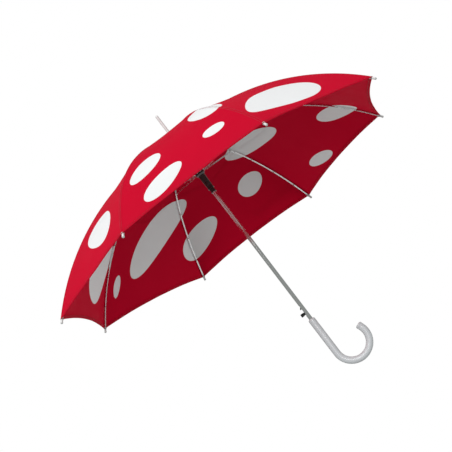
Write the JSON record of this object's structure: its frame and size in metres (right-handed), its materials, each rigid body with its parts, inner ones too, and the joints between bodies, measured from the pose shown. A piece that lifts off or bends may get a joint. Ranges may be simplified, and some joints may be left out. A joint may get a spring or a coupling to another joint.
{
  "type": "children's umbrella",
  "caption": "Open stick umbrella with a spotted scalloped canopy on hinged ribs, a spring-driven runner, a push-button catch and a crook handle.",
  "frame": {"origin": "the middle of the straight grip, on the shaft axis", "axes": "+Z along the shaft towards the ferrule; +X the way the crook curls; the release button is on the -X side; rib 1 stands 22.5 degrees round from +X"},
  "size_m": [0.706, 0.706, 0.61],
  "materials": {
    "shaft": "bright plated steel tube",
    "ferrule": "smooth white moulded plastic",
    "white_plastic": "smooth white moulded plastic",
    "black_plastic": "satin black moulded plastic",
    "dark_plastic": "dark moulded plastic",
    "wire": "drawn steel wire and strip",
    "rib_steel": "bright zinc-plated steel channel",
    "handle": "pale grey moulded plastic",
    "cloth": "plain-woven polyester, printed with pale spots"
  },
  "bodies": {
    "shaft": {"shaft_tube": "shaft", "ferrule": "ferrule", "crown_cap": "white_plastic", "crown_rosette": "cloth", "crown_notch": "white_plastic", "crown_wire": "wire", "spring_seat": "dark_plastic", "main_spring": "wire", "catch_pin": "wire", "handle": "handle"},
    "rib_inner_1": {"rib_inner_1": "rib_steel"},
    "rib_outer_1": {"rib_outer_1": "rib_steel", "rib_tip_1": "white_plastic", "canopy_gore_1": "cloth"},
    "stretcher_1": {"stretcher_1": "rib_steel"},
    "rib_inner_2": {"rib_inner_2": "rib_steel"},
    "rib_outer_2": {"rib_outer_2": "rib_steel", "rib_tip_2": "white_plastic", "canopy_gore_2": "cloth", "tie_strap": "cloth"},
    "stretcher_2": {"stretcher_2": "rib_steel"},
    "rib_inner_3": {"rib_inner_3": "rib_steel"},
    "rib_outer_3": {"rib_outer_3": "rib_steel", "rib_tip_3": "white_plastic", "canopy_gore_3": "cloth"},
    "stretcher_3": {"stretcher_3": "rib_steel"},
    "rib_inner_4": {"rib_inner_4": "rib_steel"},
    "rib_outer_4": {"rib_outer_4": "rib_steel", "rib_tip_4": "white_plastic", "canopy_gore_4": "cloth"},
    "stretcher_4": {"stretcher_4": "rib_steel"},
    "rib_inner_5": {"rib_inner_5": "rib_steel"},
    "rib_outer_5": {"rib_outer_5": "rib_steel", "rib_tip_5": "white_plastic", "canopy_gore_5": "cloth"},
    "stretcher_5": {"stretcher_5": "rib_steel"},
    "rib_inner_6": {"rib_inner_6": "rib_steel"},
    "rib_outer_6": {"rib_outer_6": "rib_steel", "rib_tip_6": "white_plastic", "canopy_gore_6": "cloth"},
    "stretcher_6": {"stretcher_6": "rib_steel"},
    "rib_inner_7": {"rib_inner_7": "rib_steel"},
    "rib_outer_7": {"rib_outer_7": "rib_steel", "rib_tip_7": "white_plastic", "canopy_gore_7": "cloth"},
    "stretcher_7": {"stretcher_7": "rib_steel"},
    "rib_inner_8": {"rib_inner_8": "rib_steel"},
    "rib_outer_8": {"rib_outer_8": "rib_steel", "rib_tip_8": "white_plastic", "canopy_gore_8": "cloth"},
    "stretcher_8": {"stretcher_8": "rib_steel"},
    "runner": {"runner": "black_plastic", "runner_wire": "wire", "spring_plunger": "dark_plastic", "plunger_pin": "wire"},
    "catch": {"catch_leaf": "wire", "push_button": "black_plastic"}
  },
  "joints": [
    {"name": "canopy_fold", "type": "hinge", "parent": "shaft", "child": "rib_inner_1", "pos_m": [0.00647, 0.00268, 0.469], "axis": [-0.3827, 0.9239, 0], "range_deg": [0, 74.16], "stiffness_Nm_per_rad": 2, "springref_deg": -68.75, "deforming": ["main_spring", "canopy_gore_1", "canopy_gore_2", "canopy_gore_3", "canopy_gore_4", "canopy_gore_5", "canopy_gore_6", "canopy_gore_7", "canopy_gore_8", "tie_strap", "catch_leaf"]},
    {"name": "rib_fold_2", "type": "hinge", "parent": "shaft", "child": "rib_inner_2", "pos_m": [0.00268, 0.00647, 0.469], "axis": [-0.9239, 0.3827, 0], "range_deg": [0, 74.21]},
    {"name": "rib_fold_3", "type": "hinge", "parent": "shaft", "child": "rib_inner_3", "pos_m": [-0.00268, 0.00647, 0.469], "axis": [-0.9239, -0.3827, 0], "range_deg": [0, 74.21]},
    {"name": "rib_fold_4", "type": "hinge", "parent": "shaft", "child": "rib_inner_4", "pos_m": [-0.00647, 0.00268, 0.469], "axis": [-0.3827, -0.9239, 0], "range_deg": [0, 74.21]},
    {"name": "rib_fold_5", "type": "hinge", "parent": "shaft", "child": "rib_inner_5", "pos_m": [-0.00647, -0.00268, 0.469], "axis": [0.3827, -0.9239, 0], "range_deg": [0, 74.21]},
    {"name": "rib_fold_6", "type": "hinge", "parent": "shaft", "child": "rib_inner_6", "pos_m": [-0.00268, -0.00647, 0.469], "axis": [0.9239, -0.3827, 0], "range_deg": [0, 74.21]},
    {"name": "rib_fold_7", "type": "hinge", "parent": "shaft", "child": "rib_inner_7", "pos_m": [0.00268, -0.00647, 0.469], "axis": [0.9239, 0.3827, 0], "range_deg": [0, 74.21]},
    {"name": "rib_fold_8", "type": "hinge", "parent": "shaft", "child": "rib_inner_8", "pos_m": [0.00647, -0.00268, 0.469], "axis": [0.3827, 0.9239, 0], "range_deg": [0, 74.21]},
    {"name": "rib_flex_1", "type": "hinge", "parent": "rib_inner_1", "child": "rib_outer_1", "pos_m": [0.18031, 0.07469, 0.42828], "axis": [-0.3827, 0.9239, 0], "range_deg": [-20.26, 0]},
    {"name": "rib_flex_2", "type": "hinge", "parent": "rib_inner_2", "child": "rib_outer_2", "pos_m": [0.07469, 0.18031, 0.42828], "axis": [-0.9239, 0.3827, 0], "range_deg": [-20.26, 0]},
    {"name": "rib_flex_3", "type": "hinge", "parent": "rib_inner_3", "child": "rib_outer_3", "pos_m": [-0.07469, 0.18031, 0.42828], "axis": [-0.9239, -0.3827, 0], "range_deg": [-20.26, 0]},
    {"name": "rib_flex_4", "type": "hinge", "parent": "rib_inner_4", "child": "rib_outer_4", "pos_m": [-0.18031, 0.07469, 0.42828], "axis": [-0.3827, -0.9239, 0], "range_deg": [-20.26, 0]},
    {"name": "rib_flex_5", "type": "hinge", "parent": "rib_inner_5", "child": "rib_outer_5", "pos_m": [-0.18031, -0.07469, 0.42828], "axis": [0.3827, -0.9239, 0], "range_deg": [-20.26, 0]},
    {"name": "rib_flex_6", "type": "hinge", "parent": "rib_inner_6", "child": "rib_outer_6", "pos_m": [-0.07469, -0.18031, 0.42828], "axis": [0.9239, -0.3827, 0], "range_deg": [-20.26, 0]},
    {"name": "rib_flex_7", "type": "hinge", "parent": "rib_inner_7", "child": "rib_outer_7", "pos_m": [0.07469, -0.18031, 0.42828], "axis": [0.9239, 0.3827, 0], "range_deg": [-20.26, 0]},
    {"name": "rib_flex_8", "type": "hinge", "parent": "rib_inner_8", "child": "rib_outer_8", "pos_m": [0.18031, -0.07469, 0.42828], "axis": [0.3827, 0.9239, 0], "range_deg": [-20.26, 0]},
    {"name": "stretcher_pivot_1", "type": "hinge", "parent": "rib_inner_1", "child": "stretcher_1", "pos_m": [0.16861, 0.06984, 0.429], "axis": [-0.3827, 0.9239, 0], "range_deg": [-148.42, 0]},
    {"name": "stretcher_pivot_2", "type": "hinge", "parent": "rib_inner_2", "child": "stretcher_2", "pos_m": [0.06984, 0.16861, 0.429], "axis": [-0.9239, 0.3827, 0], "range_deg": [-148.42, 0]},
    {"name": "stretcher_pivot_3", "type": "hinge", "parent": "rib_inner_3", "child": "stretcher_3", "pos_m": [-0.06984, 0.16861, 0.429], "axis": [-0.9239, -0.3827, 0], "range_deg": [-148.42, 0]},
    {"name": "stretcher_pivot_4", "type": "hinge", "parent": "rib_inner_4", "child": "stretcher_4", "pos_m": [-0.16861, 0.06984, 0.429], "axis": [-0.3827, -0.9239, 0], "range_deg": [-148.42, 0]},
    {"name": "stretcher_pivot_5", "type": "hinge", "parent": "rib_inner_5", "child": "stretcher_5", "pos_m": [-0.16861, -0.06984, 0.429], "axis": [0.3827, -0.9239, 0], "range_deg": [-148.42, 0]},
    {"name": "stretcher_pivot_6", "type": "hinge", "parent": "rib_inner_6", "child": "stretcher_6", "pos_m": [-0.06984, -0.16861, 0.429], "axis": [0.9239, -0.3827, 0], "range_deg": [-148.42, 0]},
    {"name": "stretcher_pivot_7", "type": "hinge", "parent": "rib_inner_7", "child": "stretcher_7", "pos_m": [0.06984, -0.16861, 0.429], "axis": [0.9239, 0.3827, 0], "range_deg": [-148.42, 0]},
    {"name": "stretcher_pivot_8", "type": "hinge", "parent": "rib_inner_8", "child": "stretcher_8", "pos_m": [0.16861, -0.06984, 0.429], "axis": [0.3827, 0.9239, 0], "range_deg": [-148.42, 0]},
    {"name": "runner_pivot", "type": "hinge", "parent": "stretcher_1", "child": "runner", "pos_m": [0.00647, 0.00268, 0.389], "axis": [-0.3827, 0.9239, 0], "range_deg": [0, 74.21]},
    {"name": "button_press", "type": "hinge", "parent": "shaft", "child": "catch", "pos_m": [-0.0015, 0, 0.036], "axis": [0, 1, 0], "range_deg": [0, 5.2], "stiffness_Nm_per_rad": 0.3, "springref_deg": -11.46}
  ],
  "couplings": [
    {"joint": "rib_fold_2", "follows": "canopy_fold", "ratio": 1},
    {"joint": "rib_fold_3", "follows": "canopy_fold", "ratio": 1},
    {"joint": "rib_fold_4", "follows": "canopy_fold", "ratio": 1},
    {"joint": "rib_fold_5", "follows": "canopy_fold", "ratio": 1},
    {"joint": "rib_fold_6", "follows": "canopy_fold", "ratio": 1},
    {"joint": "rib_fold_7", "follows": "canopy_fold", "ratio": 1},
    {"joint": "rib_fold_8", "follows": "canopy_fold", "ratio": 1},
    {"joint": "rib_flex_1", "follows": "canopy_fold", "ratio": -0.2725},
    {"joint": "rib_flex_2", "follows": "canopy_fold", "ratio": -0.2725},
    {"joint": "rib_flex_3", "follows": "canopy_fold", "ratio": -0.2725},
    {"joint": "rib_flex_4", "follows": "canopy_fold", "ratio": -0.2725},
    {"joint": "rib_flex_5", "follows": "canopy_fold", "ratio": -0.2725},
    {"joint": "rib_flex_6", "follows": "canopy_fold", "ratio": -0.2725},
    {"joint": "rib_flex_7", "follows": "canopy_fold", "ratio": -0.2725},
    {"joint": "rib_flex_8", "follows": "canopy_fold", "ratio": -0.2725},
    {"joint": "stretcher_pivot_1", "follows": "canopy_fold", "ratio": -2},
    {"joint": "stretcher_pivot_2", "follows": "canopy_fold", "ratio": -2},
    {"joint": "stretcher_pivot_3", "follows": "canopy_fold", "ratio": -2},
    {"joint": "stretcher_pivot_4", "follows": "canopy_fold", "ratio": -2},
    {"joint": "stretcher_pivot_5", "follows": "canopy_fold", "ratio": -2},
    {"joint": "stretcher_pivot_6", "follows": "canopy_fold", "ratio": -2},
    {"joint": "stretcher_pivot_7", "follows": "canopy_fold", "ratio": -2},
    {"joint": "stretcher_pivot_8", "follows": "canopy_fold", "ratio": -2},
    {"joint": "runner_pivot", "follows": "canopy_fold", "ratio": 1}
  ]
}
